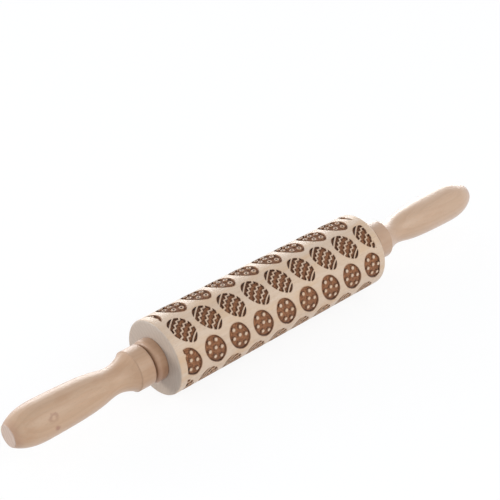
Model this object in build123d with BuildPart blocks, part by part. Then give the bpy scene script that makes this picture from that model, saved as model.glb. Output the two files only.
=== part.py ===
"""Embossed rolling pin with decorated eggs cut into its barrel.

Frame: millimetres, +Z up, +X along the pin from the left handle to the right one.
The origin is the middle of the barrel, on the axle's centre line.
"""

import math
import os

from build123d import *

os.makedirs("parts", exist_ok=True)

# Barrel
barrel_diameter = 45.0
barrel_length = 160.0
barrel_edge_round = 1.2
land_width = 5.0
bore_diameter = 10.0

# Axle and the fits on it
axle_diameter = 8.0
axle_end_chamfer = 0.6
axle_end_gap = 0.8
running_clearance = 0.08
socket_depth = 50.0

# Bushes, pressed into the barrel's ends
flange_diameter = 25.2
flange_length = 6.8
flange_dome_round = 2.6
flange_back_round = 0.4
spigot_diameter = 16.0
spigot_length = 20.0
spigot_end_gap = 0.5

# Slip washers, between the bushes and the handles
washer_diameter = 16.0
washer_thickness = 1.1
washer_bore_clearance = 0.1
washer_gap = 0.3

# Handles: a collar, then a turned outline from its edge to the blunt tip
handle_length = 87.8
collar_radius = 12.0
collar_length = 9.4
collar_edge_round = 0.25
cove_step = 0.4
belly_radius = 11.5
tip_radius = 6.35
tip_edge_round = 0.4
# Each station: share of the way from the collar to the tip, then share of the belly's radius
outline_shares = [
    (0.041, 0.864),
    (0.136, 0.697),
    (0.267, 0.813),
    (0.472, 0.957),
    (0.696, 1.0),
    (0.858, 0.948),
    (0.926, 0.822),
]

# Engraved field: rows of eggs along the barrel, a little askew, closer together at the back
engraving_depth = 1.3
cut_overrun = 1.0
egg_pitch = 17.66
row_skew = 0.78
row_count = 8
first_row_angle = 26.5
front_row_step = 47.8
front_steps = 4
# Rows take turns: zigzags, rings, zigzags, dots, each shifted by its share of the pitch
row_shift_shares = [-0.25, 0.525, 0.134, -0.054]

# One egg: its outline, and how its long axis leans from the way round the barrel
egg_half_length = 9.3
egg_half_width = 6.45
egg_taper_share = 0.11
egg_lean = 27.5
egg_outline_points = 8

# Raised dots and rings, both at these shares of the egg, along it and across it
spot_shares = [
    (-0.69, -0.11),
    (-0.46, 0.55),
    (-0.27, -0.59),
    (-0.13, 0.06),
    (0.19, 0.56),
    (0.30, -0.46),
    (0.64, 0.07),
]
dot_diameter = 2.1
ring_diameter = 2.8
ring_hole_diameter = 1.4

# Raised ribs across the egg: three zigzags between two plain ones, all bowed
rib_lean = 40.4
rib_width = 0.85
zigzag_period = 3.17
zigzag_height = 0.63
# Each zigzag: place along the egg, start in its period, and bow as a share of the egg
zigzag_shares = [
    (-0.474, -0.27, 0.121),
    (-0.043, -0.41, 0.168),
    (0.424, 0.35, 0.062),
]
# Each plain rib: place along the egg, slope across it, and bow
plain_rib_shares = [
    (-0.767, 0.0, 0.046),
    (0.758, 0.09, 0.136),
]

barrel_radius = barrel_diameter / 2
barrel_end = barrel_length / 2
floor_radius = barrel_radius - engraving_depth
field_length = barrel_length - 2 * land_width
back_row_step = (360 - front_steps * front_row_step) / (row_count - front_steps)
flange_face = barrel_end + flange_length
handle_face = flange_face + washer_gap + washer_thickness
handle_end = handle_face + handle_length
axle_half_length = handle_face + socket_depth - axle_end_gap
bush_bore_radius = axle_diameter / 2 + running_clearance


def egg_point(x, arc):
    """Flatten a place on the barrel, x along it and arc around it, to the egg's plane"""
    return (x, barrel_radius * math.sin(arc / barrel_radius))


def leaning_point(along, across, lean):
    """A point given along and across an axis that leans from the way round the barrel"""
    slope = math.radians(lean)
    x = along * math.sin(slope) + across * math.cos(slope)
    arc = along * math.cos(slope) - across * math.sin(slope)
    return egg_point(x, arc)


def egg_outline():
    """Points around the egg, whose narrow end is where along is positive"""
    points = []
    for step in range(egg_outline_points):
        turn = 2 * math.pi * step / egg_outline_points
        along = egg_half_length * math.cos(turn)
        across = egg_half_width * math.sin(turn) * (1 - egg_taper_share * math.cos(turn))
        points.append(leaning_point(along, across, egg_lean))
    return points


def spots():
    """Centres of the raised dots and rings"""
    places = []
    for along_share, across_share in spot_shares:
        along = along_share * egg_half_length
        across = across_share * egg_half_width
        places.append(leaning_point(along, across, egg_lean))
    return places


def raise_dots():
    """Leave round dots standing in the egg"""
    with Locations(*spots()):
        Circle(dot_diameter / 2, mode=Mode.SUBTRACT)


def raise_rings():
    """Leave rings standing in the egg"""
    with Locations(*spots()):
        Circle(ring_diameter / 2, mode=Mode.SUBTRACT)
        Circle(ring_hole_diameter / 2)


def raise_strip(centre_line, half_height):
    """Leave a strip standing along a line of (along, across) points"""
    far_side = []
    near_side = []
    for along, across in centre_line:
        far_side.append(leaning_point(along + half_height, across, rib_lean))
        near_side.append(leaning_point(along - half_height, across, rib_lean))
    Polygon(*far_side, *reversed(near_side), align=None, mode=Mode.SUBTRACT)


def bow(across, bow_share):
    """How far a bowed rib has moved along the egg at this place across it"""
    return bow_share * egg_half_length * (across / egg_half_width) ** 2


def raise_ribs():
    """Leave the zigzag ribs and the two plain ones standing in the egg"""
    half_period = zigzag_period / 2
    zigzag_half_height = rib_width / 2 * math.hypot(1, 2 * zigzag_height / half_period)
    turns = math.ceil(egg_half_length / half_period)
    for place_share, start_share, bow_share in zigzag_shares:
        line = []
        for step in range(-turns, turns + 1):
            across = start_share * zigzag_period + step * half_period
            side = 1 if step % 2 == 0 else -1
            along = place_share * egg_half_length + side * zigzag_height + bow(across, bow_share)
            line.append((along, across))
        raise_strip(line, zigzag_half_height)
    for place_share, slope_share, bow_share in plain_rib_shares:
        line = []
        for step in range(-turns, turns + 1):
            across = step * half_period
            along = place_share * egg_half_length + slope_share * across + bow(across, bow_share)
            line.append((along, across))
        raise_strip(line, rib_width / 2)


def egg_cutter(decorate):
    """The wood that one egg takes out of the top of the barrel"""
    start = barrel_radius + cut_overrun
    deepest = math.sqrt(floor_radius**2 - egg_half_length**2) - cut_overrun
    face = Plane(origin=(0, 0, start), x_dir=(1, 0, 0), z_dir=(0, 0, -1))
    with BuildPart() as cutter:
        with BuildSketch(face):
            with BuildLine():
                Spline(*egg_outline(), periodic=True)
            make_face()
            decorate()
        extrude(amount=start - deepest)
        Cylinder(floor_radius, 4 * egg_half_length, rotation=(0, 90, 0), mode=Mode.SUBTRACT)
    return cutter.part


def row_places(angle, shift):
    """Where the eggs of one row go: x along the barrel and a turn about its axis"""
    reach = field_length / 2 + egg_half_length
    first = math.ceil((-reach - shift) / egg_pitch)
    last = math.floor((reach - shift) / egg_pitch)
    places = []
    for index in range(first, last + 1):
        x = shift + index * egg_pitch
        skew = math.degrees(x * math.tan(math.radians(row_skew)) / barrel_radius)
        places.append(Location((x, 0, 0), (angle + skew - 90, 0, 0)))
    return places


ring_egg = egg_cutter(raise_rings)
zigzag_egg = egg_cutter(raise_ribs)
dot_egg = egg_cutter(raise_dots)
row_cycle = [zigzag_egg, ring_egg, zigzag_egg, dot_egg]


def placed_eggs():
    """Every egg cutter of the field, row after row around the barrel"""
    eggs = []
    angle = first_row_angle
    for row in range(row_count):
        kind = row % len(row_cycle)
        for place in row_places(angle, row_shift_shares[kind] * egg_pitch):
            eggs.append(row_cycle[kind].moved(place))
        angle += front_row_step if row < front_steps else back_row_step
    return eggs


# Barrel end: the plain land outside the engraved field
with BuildPart() as end_land:
    Cylinder(barrel_radius, land_width, rotation=(0, 90, 0))
    outer_edge = end_land.edges().filter_by(GeomType.CIRCLE).sort_by(Axis.X)[-1]
    fillet(outer_edge, barrel_edge_round)

# Roller barrel: the field with its eggs, the two lands, the bore and the seats of the bushes
with BuildPart() as roller_barrel:
    Cylinder(barrel_radius, field_length, rotation=(0, 90, 0))
    add(placed_eggs(), mode=Mode.SUBTRACT)
    land_centre = (field_length + land_width) / 2
    with Locations((land_centre, 0, 0)):
        add(end_land.part)
    with Locations(Location((-land_centre, 0, 0), (0, 0, 180))):
        add(end_land.part)
    Cylinder(bore_diameter / 2, barrel_length + cut_overrun, rotation=(0, 90, 0), mode=Mode.SUBTRACT)
    seat_length = spigot_length + spigot_end_gap
    seat_centre = (barrel_length - seat_length + cut_overrun) / 2
    with Locations((seat_centre, 0, 0), (-seat_centre, 0, 0)):
        Cylinder(spigot_diameter / 2, seat_length + cut_overrun, rotation=(0, 90, 0), mode=Mode.SUBTRACT)
roller_barrel.part.label = "roller_barrel"
export_step(roller_barrel.part, "parts/roller_barrel.step", write_pcurves=False)

# Left bush: a domed flange that stands on the barrel's end, and the spigot pressed into it
with BuildPart() as left_bush:
    with BuildSketch(Plane.XZ):
        with BuildLine():
            Polyline(
                (-barrel_end + spigot_length, bush_bore_radius),
                (-barrel_end + spigot_length, spigot_diameter / 2),
                (-barrel_end, spigot_diameter / 2),
                (-barrel_end, flange_diameter / 2),
                (-flange_face, flange_diameter / 2),
                (-flange_face, bush_bore_radius),
                close=True,
            )
        make_face()
        fillet(vertices().group_by(Axis.Y)[-1].sort_by(Axis.X)[0], flange_dome_round)
        fillet(vertices().group_by(Axis.Y)[-1].sort_by(Axis.X)[-1], flange_back_round)
    revolve(axis=Axis.X)
left_bush.part.label = "left_bush"
export_step(left_bush.part, "parts/left_bush.step")

# Right bush: the left one in a mirror
with BuildPart() as right_bush:
    mirror(left_bush.part, about=Plane.YZ)
right_bush.part.label = "right_bush"
export_step(right_bush.part, "parts/right_bush.step")

# Left slip washer, on the handle's face
with BuildPart() as left_washer:
    with BuildSketch(Plane.YZ.offset(-handle_face)):
        Circle(washer_diameter / 2)
        Circle(axle_diameter / 2 + washer_bore_clearance, mode=Mode.SUBTRACT)
    extrude(amount=washer_thickness)
left_washer.part.label = "left_washer"
export_step(left_washer.part, "parts/left_washer.step")

# Right slip washer
with BuildPart() as right_washer:
    mirror(left_washer.part, about=Plane.YZ)
right_washer.part.label = "right_washer"
export_step(right_washer.part, "parts/right_washer.step")

# Axle rod, pressed into both handles
with BuildPart() as axle_rod:
    Cylinder(axle_diameter / 2, 2 * axle_half_length, rotation=(0, 90, 0))
    chamfer(axle_rod.edges().filter_by(GeomType.CIRCLE), axle_end_chamfer)
axle_rod.part.label = "axle_rod"
export_step(axle_rod.part, "parts/axle_rod.step")


def handle_outline():
    """Points of the left handle's turned outline, from its collar to its tip"""
    collar_end = handle_face + collar_length
    run = handle_length - collar_length
    points = [(-collar_end, collar_radius - cove_step)]
    for along_share, radius_share in outline_shares:
        points.append((-collar_end - along_share * run, radius_share * belly_radius))
    points.append((-handle_end, tip_radius))
    return points


# Left handle, turned in one piece, with a blind socket for the axle
with BuildPart() as left_handle:
    outline = handle_outline()
    with BuildSketch(Plane.XZ):
        with BuildLine():
            Polyline(
                outline[-1],
                (-handle_end, 0),
                (-handle_face - socket_depth, 0),
                (-handle_face - socket_depth, axle_diameter / 2),
                (-handle_face, axle_diameter / 2),
                (-handle_face, collar_radius),
                (-handle_face - collar_length, collar_radius),
                outline[0],
            )
            Spline(*outline)
        make_face()
        fillet(vertices().group_by(Axis.Y)[-1], collar_edge_round)
        fillet(vertices().sort_by_distance(outline[-1])[0], tip_edge_round)
    revolve(axis=Axis.X)
left_handle.part.label = "left_handle"
export_step(left_handle.part, "parts/left_handle.step")

# Right handle: the left one in a mirror
with BuildPart() as right_handle:
    mirror(left_handle.part, about=Plane.YZ)
right_handle.part.label = "right_handle"
export_step(right_handle.part, "parts/right_handle.step")
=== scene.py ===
"""Looks of the embossed rolling pin: bare turned wood, scorched eggs and soft studio light."""

import math
from collections import namedtuple

import bpy
from mathutils import Matrix, Vector


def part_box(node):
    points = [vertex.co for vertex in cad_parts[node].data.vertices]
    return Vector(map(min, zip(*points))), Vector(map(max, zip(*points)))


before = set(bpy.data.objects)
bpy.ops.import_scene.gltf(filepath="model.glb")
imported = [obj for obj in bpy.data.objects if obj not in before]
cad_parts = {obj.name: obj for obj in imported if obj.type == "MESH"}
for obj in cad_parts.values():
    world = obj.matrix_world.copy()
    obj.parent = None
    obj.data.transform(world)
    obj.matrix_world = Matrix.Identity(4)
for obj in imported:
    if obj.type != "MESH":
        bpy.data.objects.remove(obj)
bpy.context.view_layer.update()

MM = 0.001

# Camera: where it stands round the origin, in degrees and metres, and how its view is turned off it
CAMERA_AZIMUTH = -43.158
CAMERA_ELEVATION = 34.758
CAMERA_DISTANCE = 0.85137
CAMERA_PAN = -0.433
CAMERA_TILT = -1.941
LENS_MM = 106.83
SENSOR_MM = 36.0
HALF_PIXEL_SHIFT = 0.001

# Light of the room from its sides and from straight above, where 1 shows a colour as it is
SIDE_LIGHT = 0.98
TOP_LIGHT = 0.5

# Floor: its side in metres, the glow of its white, and the share of that white where it is seen
FLOOR_SIDE = 12.0
FLOOR_GLOW = 1.04
FLOOR_WHITENESS = 0.86

# Sizes taken from the frame, in millimetres, and the floor's height in metres
barrel_low, barrel_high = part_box("roller_barrel")
barrel_radius = barrel_high.z / MM
barrel_end = barrel_high.x / MM
handle_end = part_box("right_handle")[1].x / MM
floor_height = barrel_low.z

# Depths under the barrel's surface, in millimetres: of the cut, its wall's foot and the scorching
ENGRAVING_DEPTH = 1.3
WALL_TO_FLOOR = (ENGRAVING_DEPTH - 0.25, ENGRAVING_DEPTH - 0.03)
SCORCH_DEPTH = (0.02, 0.15)

# Distances from the nearer end, in millimetres, from where a look is absent to where it is full
BARREL_END_GRAIN = (0.9, 0.1)
ENGRAVED_FIELD = (4.0, 4.6)
HANDLE_END_GRAIN = (0.3, 0.1)
HANDLE_TIP_TAN = (5.0, 0.5)
HANDLE_NECK_TAN = (64.0, 84.0)

# Reach of the browned edges, of the painted shade in a cut and of the handles' eased edges, in
# millimetres
EDGE_SCORCH = 0.7
POCKET_REACH = 2.0
EASED_EDGE = 1.0

# Openness round a point at which the painted shade in a cut starts and is full, and the same for
# browning
PAINTED_SHADE_OPENNESS = (0.75, 0.3)
EDGE_OPENNESS = (0.95, 0.35)

# Samples that each look round a point takes
NEAR_SAMPLES = 8
BEVEL_SAMPLES = 6

# The painted shade in the cuts leans to this side, so it is darker beside the walls on that side of
# each cut
PAINTED_SHADE_LEAN = (-1.6, 0.0, 0.0)

# A knot in the left handle, in millimetres: a curl of grain, the eye below it, and their wander
KNOT_CURL = (-154.0, -10.0, 5.8)
KNOT_CURL_RADIUS = 4.0
KNOT_CURL_WIDTH = (1.6, 0.1)
KNOT_CURL_OPENING = (KNOT_CURL[2] - 3.0, KNOT_CURL[2] + 1.0)
KNOT_EYE = (-153.5, -11.6, -0.2)
KNOT_EYE_EDGE = (4.2, 2.4)
KNOT_WANDER = 4.0

# The collars' brown stain, with painted shade that darkens it towards the bottom, in millimetres:
# the height where it is weakest, and how that wanders
PAINTED_SHADE_TOP = 16.0
STAIN_AND_SHADE_WANDER = 12.0
STAIN_LEAST = 0.35

# The tree's middle beside each piece, across it in millimetres
BARREL_PITH = (31.0, -12.0)
BUSH_PITH = (24.0, 18.0)
LEFT_HANDLE_PITH = (-22.0, 15.0)
RIGHT_HANDLE_PITH = (14.0, -25.0)

# Growth rings: their spacing in millimetres, their waviness in rings, and where late wood starts
RING_SPACING = 2.6
RING_WAVINESS = 3.0
LATE_WOOD = 0.35

# Takes the length along the pin out of a place
ACROSS = (0, 1, 1)

# A figure of the wood: its noise, and the noise level at which it starts to show and is full
Figure = namedtuple("Figure", "fineness detail roughness start full")
STREAKS = Figure((0.05, 1.5, 1.5), 4.0, 0.6, 0.42, 0.72)
FLECKS = Figure((0.5, 3.2, 3.2), 1.0, 0.4, 0.62, 0.74)
BARREL_STAINS = Figure((0.035, 0.16, 0.16), 3.0, 0.55, 0.45, 0.7)
BARREL_FIBRES = Figure((0.25, 3.5, 3.5), 5.0, 0.75, 0.5, 0.75)
BARREL_SPECKLES = Figure((1, 5, 5), 2.0, 0.5, 0.5, 0.75)
SOOT = Figure((1.6, 1.6, 1.6), 4.0, 0.6, 0.3, 0.7)
HANDLE_FIBRES = Figure((0.12, 2.6, 2.6), 5.0, 0.75, 0.5, 0.75)
HANDLE_TINTS = Figure((0.05, 0.13, 0.13), 2.0, 0.5, 0.5, 0.75)

# Fineness of other noise, like that above in changes a millimetre along and across the grain
RING_WANDER = (0.012, 0.12, 0.12)
BARREL_PORES = (0.6, 7, 7)
HANDLE_PORES = (0.5, 6, 6)
LATHE_LINES = (3.0, 0.02, 0.02)
DRAW_LINES = (0.05, 8, 8)

# Colours of the barrel
BARREL_PALE = (0.70, 0.54, 0.405, 1)
BARREL_RING = (0.62, 0.445, 0.30, 1)
BARREL_STAIN = (0.68, 0.45, 0.26, 1)
BARREL_FIBRE = (0.50, 0.33, 0.21, 1)
BARREL_STREAK = (0.66, 0.43, 0.26, 1)
BARREL_FLECK = (0.42, 0.27, 0.18, 1)
BARREL_END_PALE = (0.50, 0.41, 0.335, 1)
BARREL_END_RING = (0.42, 0.33, 0.26, 1)
BARREL_END_SPECKLE = (0.35, 0.265, 0.205, 1)
EDGE_BROWN = (0.40, 0.215, 0.12, 1)
CUT_FLOOR_BROWN = (0.46, 0.205, 0.095, 1)
CUT_FLOOR_SOOT = (0.14, 0.053, 0.024, 1)
CUT_WALL_BROWN = (0.62, 0.355, 0.20, 1)
CUT_WALL_SOOT = (0.28, 0.13, 0.066, 1)
# Painted shade, deepest in the tight corners of the cuts
DEEP_PAINTED_SHADE = (0.03, 0.012, 0.008, 1)

# Colours of the handles and collars
HANDLE_PALE = (0.56, 0.37, 0.238, 1)
HANDLE_RING = (0.47, 0.28, 0.165, 1)
HANDLE_STREAK = (0.60, 0.34, 0.19, 1)
HANDLE_FIBRE = (0.42, 0.25, 0.145, 1)
HANDLE_FLECK = (0.40, 0.24, 0.14, 1)
HANDLE_TINT = (0.46, 0.25, 0.135, 1)
HANDLE_TIP = (0.38, 0.19, 0.12, 1)
HANDLE_NECK = (0.36, 0.19, 0.10, 1)
HANDLE_END_PALE = (0.53, 0.39, 0.31, 1)
HANDLE_END_RING = (0.42, 0.28, 0.205, 1)
# Brown of the collars' stain, also used for their painted shade towards the bottom
BROWN_STAIN_AND_SHADE = (0.30, 0.13, 0.065, 1)
KNOT_BROWN = (0.36, 0.18, 0.11, 1)
KNOT_RED = (0.30, 0.11, 0.07, 1)

# Colours of the other pieces and of the studio
NYLON_CLEAR = (0.70, 0.66, 0.56, 1)
NYLON_CLOUD = (0.60, 0.56, 0.47, 1)
STEEL_BRIGHT = (0.62, 0.62, 0.63, 1)
STEEL_LINE = (0.48, 0.48, 0.49, 1)
PAPER_LIGHT = (0.90, 0.90, 0.90, 1)
PAPER_DARK = (0.87, 0.87, 0.87, 1)
COOL_LIGHT = (0.84, 0.94, 1.08, 1)
WARM_LAMP = (1.0, 0.95, 0.88)
WHITE = (1, 1, 1, 1)

# Roughness of the barrel's bare and scorched wood, and the handles' soft gloss
BARE_ROUGHNESS = 0.45
SCORCHED_ROUGHNESS = 1.0
HANDLE_GLOSS = {"Roughness": 0.42, "Coat Roughness": 0.45}

# Fine raised fibres of bare wood catch the light at a flat angle
WOOD_SHEEN = {"Sheen Weight": 0.3, "Sheen Roughness": 0.35}


class Graph:
    """Short ways to write the node tree of a material or a world"""

    def __init__(self, owner):
        self.owner = owner
        owner.use_nodes = True
        self.tree = owner.node_tree
        self.tree.nodes.clear()

    def node(self, kind, inputs=None, **settings):
        made = self.tree.nodes.new(kind)
        for name, value in settings.items():
            setattr(made, name, value)
        for name, value in (inputs or {}).items():
            if isinstance(value, bpy.types.NodeSocket):
                self.tree.links.new(value, made.inputs[name])
            else:
                made.inputs[name].default_value = value
        return made

    def maths(self, operation, first, second=0.0, third=0.0):
        inputs = {0: first, 1: second, 2: third}
        return self.node("ShaderNodeMath", inputs, operation=operation).outputs[0]

    def between(self, value, low, high, start=0.0, end=1.0):
        """A smooth change from start, where value is at low, to end, where it is at high"""
        inputs = {"Value": value, "From Min": low, "From Max": high, "To Min": start, "To Max": end}
        made = self.node("ShaderNodeMapRange", inputs, interpolation_type="SMOOTHSTEP")
        return made.outputs["Result"]

    def mix(self, share, first, second):
        inputs = {"Fac": share, "Color1": first, "Color2": second}
        return self.node("ShaderNodeMixRGB", inputs).outputs["Color"]

    def tinted(self, colour, tint, share, most):
        """The colour with as much of the tint as the share says, times the most there can be"""
        return self.mix(self.maths("MULTIPLY", share, most), colour, tint)

    def stretch(self, vector, factors):
        inputs = {0: vector, 1: factors}
        return self.node("ShaderNodeVectorMath", inputs, operation="MULTIPLY").outputs[0]

    def shift(self, vector, offset):
        inputs = {0: vector, 1: offset}
        return self.node("ShaderNodeVectorMath", inputs, operation="ADD").outputs[0]

    def length(self, vector):
        return self.node("ShaderNodeVectorMath", {0: vector}, operation="LENGTH").outputs["Value"]

    def distance(self, place, point):
        return self.length(self.shift(place, tuple(-value for value in point)))

    def noise(self, place, fineness, detail=2.0, roughness=0.5):
        """Soft noise, its fineness one number, or one for each axis"""
        scale = fineness
        if isinstance(fineness, tuple):
            place, scale = self.stretch(place, fineness), 1.0
        inputs = {"Vector": place, "Scale": scale, "Detail": detail, "Roughness": roughness}
        return self.node("ShaderNodeTexNoise", inputs).outputs[0]

    def figure(self, place, kind):
        """How much of a figure of the wood a place shows, from 0 to 1"""
        level = self.noise(place, kind.fineness, kind.detail, kind.roughness)
        return self.between(level, kind.start, kind.full)

    def millimetres(self):
        """The place on the piece, in millimetres along its own axes"""
        place = self.node("ShaderNodeTexCoord").outputs["Object"]
        return self.stretch(place, (1 / MM, 1 / MM, 1 / MM))

    def axis(self, place, name):
        return self.node("ShaderNodeSeparateXYZ", {0: place}).outputs[name]

    def within(self, place, end):
        """How far a place lies in from the nearer end"""
        return self.maths("SUBTRACT", end, self.maths("ABSOLUTE", self.axis(place, "X")))

    def openness(self, reach, inputs=None, inside=False):
        """1 where nothing stands within reach of a point, and less where something does"""
        inputs = {"Distance": reach * MM, **(inputs or {})}
        settings = {"samples": NEAR_SAMPLES, "inside": inside}
        return self.node("ShaderNodeAmbientOcclusion", inputs, **settings).outputs["AO"]

    def bump(self, height, strength, distance, under=None):
        """A bumped normal for a height of at most this distance in millimetres"""
        inputs = {"Height": height, "Strength": strength, "Distance": distance * MM}
        if under is not None:
            inputs["Normal"] = under
        return self.node("ShaderNodeBump", inputs).outputs["Normal"]

    def finish(self, inputs):
        shader = self.node("ShaderNodeBsdfPrincipled", inputs)
        self.node("ShaderNodeOutputMaterial", {"Surface": shader.outputs["BSDF"]})
        return self.owner


def new_material(name):
    return Graph(bpy.data.materials.new(name))


def growth_rings(graph, place, pith):
    """Yearly rings round a pith line beside the piece, from 0 to 1, as a solid block shows them"""
    wander = graph.noise(place, RING_WANDER)
    from_pith = graph.shift(graph.stretch(place, ACROSS), (0, -pith[0], -pith[1]))
    turns = graph.maths("DIVIDE", graph.length(from_pith), RING_SPACING)
    turns = graph.maths("MULTIPLY_ADD", wander, RING_WAVINESS, turns)
    return graph.between(graph.maths("FRACT", turns), LATE_WOOD, 1.0)


def wood_grain(graph, place, pith):
    """Ring, streak and fleck shares of bare beech, each from 0 to 1"""
    rings = growth_rings(graph, place, pith)
    return rings, graph.figure(place, STREAKS), graph.figure(place, FLECKS)


def bare_barrel(graph, place, from_end):
    """Pale beech with its figure on the barrel's side, and grey end grain on its ends"""
    rings, streaks, flecks = wood_grain(graph, place, BARREL_PITH)
    side = graph.tinted(BARREL_PALE, BARREL_RING, rings, 0.35)
    side = graph.tinted(side, BARREL_STAIN, graph.figure(place, BARREL_STAINS), 0.6)
    side = graph.tinted(side, BARREL_FIBRE, graph.figure(place, BARREL_FIBRES), 0.75)
    side = graph.tinted(side, BARREL_STREAK, streaks, 0.35)
    side = graph.tinted(side, BARREL_FLECK, flecks, 0.4)
    end = graph.tinted(BARREL_END_PALE, BARREL_END_RING, rings, 0.5)
    end = graph.tinted(end, BARREL_END_SPECKLE, graph.figure(place, BARREL_SPECKLES), 0.5)
    return graph.mix(graph.between(from_end, *BARREL_END_GRAIN), side, end)


def scorched_cuts_with_painted_shade(graph, place, depth):
    """Brown walls and darker floors of the cuts, with painted shade in their tight corners"""
    soot = graph.figure(place, SOOT)
    floor = graph.mix(soot, CUT_FLOOR_BROWN, CUT_FLOOR_SOOT)
    wall = graph.mix(soot, CUT_WALL_BROWN, CUT_WALL_SOOT)
    colour = graph.mix(graph.between(depth, *WALL_TO_FLOOR), wall, floor)
    # Painted shade: darker where walls stand close round a point of a cut, and more beside the
    # walls on one side
    leaning = graph.shift(graph.node("ShaderNodeNewGeometry").outputs["Normal"], PAINTED_SHADE_LEAN)
    open_share = graph.openness(POCKET_REACH, {"Normal": leaning})
    shaded_corners = graph.between(open_share, *PAINTED_SHADE_OPENNESS)
    return graph.tinted(colour, DEEP_PAINTED_SHADE, shaded_corners, 0.9)


def barrel_wood():
    """Pale bare beech, grey on its end grain, scorched where the eggs are cut"""
    graph = new_material("barrel_wood")
    place = graph.millimetres()
    from_end = graph.within(place, barrel_end)
    depth = graph.maths("SUBTRACT", barrel_radius, graph.length(graph.stretch(place, ACROSS)))

    bare = bare_barrel(graph, place, from_end)
    nearness = graph.between(graph.openness(EDGE_SCORCH, inside=True), *EDGE_OPENNESS)
    bare = graph.tinted(bare, EDGE_BROWN, nearness, 0.6)
    engraved = graph.between(from_end, *ENGRAVED_FIELD)
    scorch = graph.maths("MULTIPLY", graph.between(depth, *SCORCH_DEPTH), engraved)
    colour = graph.mix(scorch, bare, scorched_cuts_with_painted_shade(graph, place, depth))

    relief = graph.bump(graph.noise(place, BARREL_PORES), 0.1, 0.03)
    char = graph.noise(place, 3.5, 3.0, 0.7)
    relief = graph.bump(graph.maths("MULTIPLY", char, scorch), 0.7, 0.25, relief)
    dulled = graph.maths("MAXIMUM", scorch, graph.maths("MULTIPLY", nearness, 0.8))
    roughness = graph.between(dulled, 0.0, 1.0, BARE_ROUGHNESS, SCORCHED_ROUGHNESS)
    look = {"Base Color": colour, "Roughness": roughness, "Normal": relief}
    return graph.finish({**look, **WOOD_SHEEN})


def knotted(graph, place, colour):
    """A small knot: a brown curl of grain, and a red-brown eye below it"""
    wander = graph.maths("MULTIPLY", graph.noise(place, 0.25, 3.0, 0.7), KNOT_WANDER)
    from_curl = graph.maths("ADD", graph.distance(place, KNOT_CURL), wander)
    off_curl = graph.maths("ABSOLUTE", graph.maths("SUBTRACT", from_curl, KNOT_CURL_RADIUS))
    arch = graph.between(graph.axis(place, "Z"), *KNOT_CURL_OPENING, 0.2, 1.0)
    curl = graph.maths("MULTIPLY", graph.between(off_curl, *KNOT_CURL_WIDTH), arch)
    colour = graph.tinted(colour, KNOT_BROWN, curl, 0.65)
    from_eye = graph.maths("ADD", graph.distance(place, KNOT_EYE), wander)
    return graph.tinted(colour, KNOT_RED, graph.between(from_eye, *KNOT_EYE_EDGE), 0.6)


def stained_and_shaded_low(graph, place, colour, share):
    """A share of brown stain all over, with painted shade that makes it darker unevenly towards the
    bottom
    """
    height = graph.axis(place, "Z")
    cloud = graph.maths("MULTIPLY_ADD", graph.noise(place, 0.3), STAIN_AND_SHADE_WANDER, height)
    # Painted shade: the brown grows towards the bottom of the piece, over a least share of real
    # stain
    stain_and_shade = graph.between(cloud, PAINTED_SHADE_TOP, 0.0, STAIN_LEAST, 1.0)
    return graph.tinted(colour, BROWN_STAIN_AND_SHADE, stain_and_shade, share)


def handle_wood(name, pith, oil=0.3, stain_and_shade=0.0, knot=False):
    """Warm turned beech under a share of oil, with a share of brown stain and painted shade, and a
    knot if wanted
    """
    graph = new_material(name)
    place = graph.millimetres()
    rings, streaks, flecks = wood_grain(graph, place, pith)
    colour = graph.tinted(HANDLE_PALE, HANDLE_RING, rings, 0.3)
    colour = graph.tinted(colour, HANDLE_STREAK, streaks, 0.35)
    colour = graph.tinted(colour, HANDLE_FIBRE, graph.figure(place, HANDLE_FIBRES), 0.45)
    colour = graph.tinted(colour, HANDLE_FLECK, flecks, 0.3)
    colour = graph.tinted(colour, HANDLE_TINT, graph.figure(place, HANDLE_TINTS), 0.4)
    # Brown stain, with painted shade darker towards the bottom, where a share is given
    if stain_and_shade:
        colour = stained_and_shaded_low(graph, place, colour, stain_and_shade)

    from_end = graph.within(place, handle_end)
    end = graph.tinted(HANDLE_END_PALE, HANDLE_END_RING, rings, 0.8)
    colour = graph.tinted(colour, HANDLE_TIP, graph.between(from_end, *HANDLE_TIP_TAN), 0.4)
    colour = graph.tinted(colour, end, graph.between(from_end, *HANDLE_END_GRAIN), 0.85)
    colour = graph.tinted(colour, HANDLE_NECK, graph.between(from_end, *HANDLE_NECK_TAN), 0.25)
    if knot:
        colour = knotted(graph, place, colour)

    bevel = graph.node("ShaderNodeBevel", {"Radius": EASED_EDGE * MM}, samples=BEVEL_SAMPLES)
    relief = graph.bump(graph.noise(place, LATHE_LINES), 0.15, 0.04, bevel.outputs["Normal"])
    relief = graph.bump(graph.noise(place, HANDLE_PORES), 0.15, 0.06, relief)
    look = {"Base Color": colour, "Normal": relief, "Coat Weight": oil}
    return graph.finish({**look, **HANDLE_GLOSS, **WOOD_SHEEN})


def nylon():
    """Natural nylon, slightly cloudy, of the slip washers"""
    graph = new_material("nylon")
    place = graph.millimetres()
    colour = graph.mix(graph.noise(place, 0.6, 3.0), NYLON_CLEAR, NYLON_CLOUD)
    relief = graph.bump(graph.noise(place, 6.0), 0.1, 0.02)
    return graph.finish({"Base Color": colour, "Roughness": 0.45, "Normal": relief})


def drawn_steel():
    """Steel rod with fine draw lines along it"""
    graph = new_material("drawn_steel")
    lines = graph.noise(graph.millimetres(), DRAW_LINES, 3.0)
    colour = graph.mix(lines, STEEL_BRIGHT, STEEL_LINE)
    roughness = graph.between(lines, 0.3, 0.7, 0.25, 0.42)
    relief = graph.bump(lines, 0.1, 0.02)
    look = {"Base Color": colour, "Metallic": 1.0, "Roughness": roughness, "Normal": relief}
    return graph.finish(look)


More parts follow.
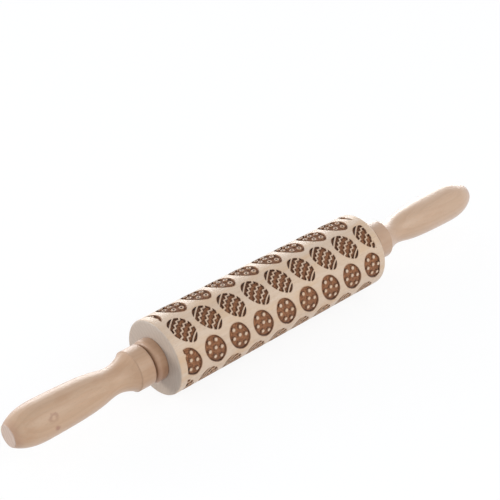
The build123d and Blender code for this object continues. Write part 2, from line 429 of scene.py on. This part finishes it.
def dress(node, material):
    """Give a node of the frame its material"""
    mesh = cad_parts[node].data
    mesh.materials.clear()
    mesh.materials.append(material)


def seen_share(graph):
    """1 where the eye, gloss or glass looks, and 0 where light is gathered"""
    path = graph.node("ShaderNodeLightPath").outputs
    seen = graph.maths("MAXIMUM", path["Is Camera Ray"], path["Is Glossy Ray"])
    return graph.maths("MAXIMUM", seen, path["Is Transmission Ray"])


def floor_material():
    """Pale matt paper that looks white, and keeps a light shadow of what stands on it"""
    graph = new_material("pale_paper")
    colour = graph.mix(graph.noise(graph.millimetres(), 0.8), PAPER_LIGHT, PAPER_DARK)
    paper = graph.node("ShaderNodeBsdfDiffuse", {"Color": colour}).outputs[0]
    glow = {"Color": WHITE, "Strength": FLOOR_GLOW}
    white = graph.node("ShaderNodeEmission", glow).outputs[0]
    share = graph.maths("MULTIPLY", seen_share(graph), FLOOR_WHITENESS)
    shader = graph.node("ShaderNodeMixShader", {0: share, 1: paper, 2: white})
    graph.node("ShaderNodeOutputMaterial", {"Surface": shader.outputs[0]})
    return graph.owner


def make_floor():
    bpy.ops.mesh.primitive_plane_add(size=FLOOR_SIDE, location=(0, 0, floor_height))
    floor = bpy.context.object
    floor.name = "floor"
    floor.data.materials.append(floor_material())


def make_world():
    """A white room, softer and cooler from above than from its sides, and white where it is seen"""
    world = bpy.data.worlds.new("white_room")
    bpy.context.scene.world = world
    graph = Graph(world)
    height = graph.axis(graph.node("ShaderNodeTexCoord").outputs["Generated"], "Z")
    levels = {"Value": height, "To Min": SIDE_LIGHT, "To Max": TOP_LIGHT}
    level = graph.node("ShaderNodeMapRange", levels).outputs["Result"]
    colour = graph.mix(height, WHITE, COOL_LIGHT)
    room = graph.node("ShaderNodeBackground", {"Color": colour, "Strength": level}).outputs[0]
    backdrop = graph.node("ShaderNodeBackground", {"Color": WHITE, "Strength": 1.0}).outputs[0]
    shader = graph.node("ShaderNodeMixShader", {0: seen_share(graph), 1: room, 2: backdrop})
    graph.node("ShaderNodeOutputWorld", {"Surface": shader.outputs[0]})


def make_lamp(name, place, width, height, power, colour=(1, 1, 1), gloss_only=False):
    """A soft lamp that looks at the middle of the pin, or a bright panel that only gloss shows"""
    lamp = bpy.data.lights.new(name, "AREA")
    lamp.shape = "RECTANGLE"
    lamp.size = width
    lamp.size_y = height
    lamp.energy = power
    lamp.color = colour
    holder = bpy.data.objects.new(name, lamp)
    bpy.context.scene.collection.objects.link(holder)
    holder.location = place
    holder.visible_diffuse = not gloss_only
    holder.rotation_euler = (-Vector(place)).to_track_quat("-Z", "Y").to_euler()


def make_camera():
    """The camera, turned from its look at the origin by a small pan and tilt"""
    azimuth = math.radians(CAMERA_AZIMUTH)
    elevation = math.radians(CAMERA_ELEVATION)
    back = Vector((
        math.sin(azimuth) * math.cos(elevation),
        -math.cos(azimuth) * math.cos(elevation),
        math.sin(elevation),
    ))
    look = back.to_track_quat("Z", "Y").to_matrix()
    pan = Matrix.Rotation(math.radians(-CAMERA_PAN), 3, "Y")
    tilt = Matrix.Rotation(math.radians(-CAMERA_TILT), 3, "X")
    lens = bpy.data.cameras.new("camera")
    lens.lens = LENS_MM
    lens.sensor_width = SENSOR_MM
    lens.shift_x = -HALF_PIXEL_SHIFT
    lens.shift_y = HALF_PIXEL_SHIFT
    camera = bpy.data.objects.new("camera", lens)
    bpy.context.scene.collection.objects.link(camera)
    turn = look @ pan @ tilt
    camera.matrix_world = Matrix.Translation(back * CAMERA_DISTANCE) @ turn.to_4x4()
    bpy.context.scene.camera = camera


dress("roller_barrel", barrel_wood())
# The collars: brown stain, with painted shade darker towards the bottom
bush_wood = handle_wood("bush_wood", BUSH_PITH, stain_and_shade=0.75)
dress("left_bush", bush_wood)
dress("right_bush", bush_wood)
dress("left_handle", handle_wood("left_handle_wood", LEFT_HANDLE_PITH, knot=True))
dress("right_handle", handle_wood("right_handle_wood", RIGHT_HANDLE_PITH, oil=1.0))
dress("left_washer", nylon())
dress("right_washer", nylon())
dress("axle_rod", drawn_steel())

make_floor()
make_world()
make_lamp("front_lamp", (0.4, -1.4, 1.05), width=1.2, height=1.2, power=9.6, colour=WARM_LAMP)
make_lamp("back_panel", (1.05, 1.25, 0.28), width=2.2, height=0.6, power=26.0, gloss_only=True)
make_lamp("left_lamp", (-1.1, 1.2, 0.35), width=0.8, height=0.6, power=13.0)
make_camera()
bpy.context.scene.view_settings.view_transform = "Standard"
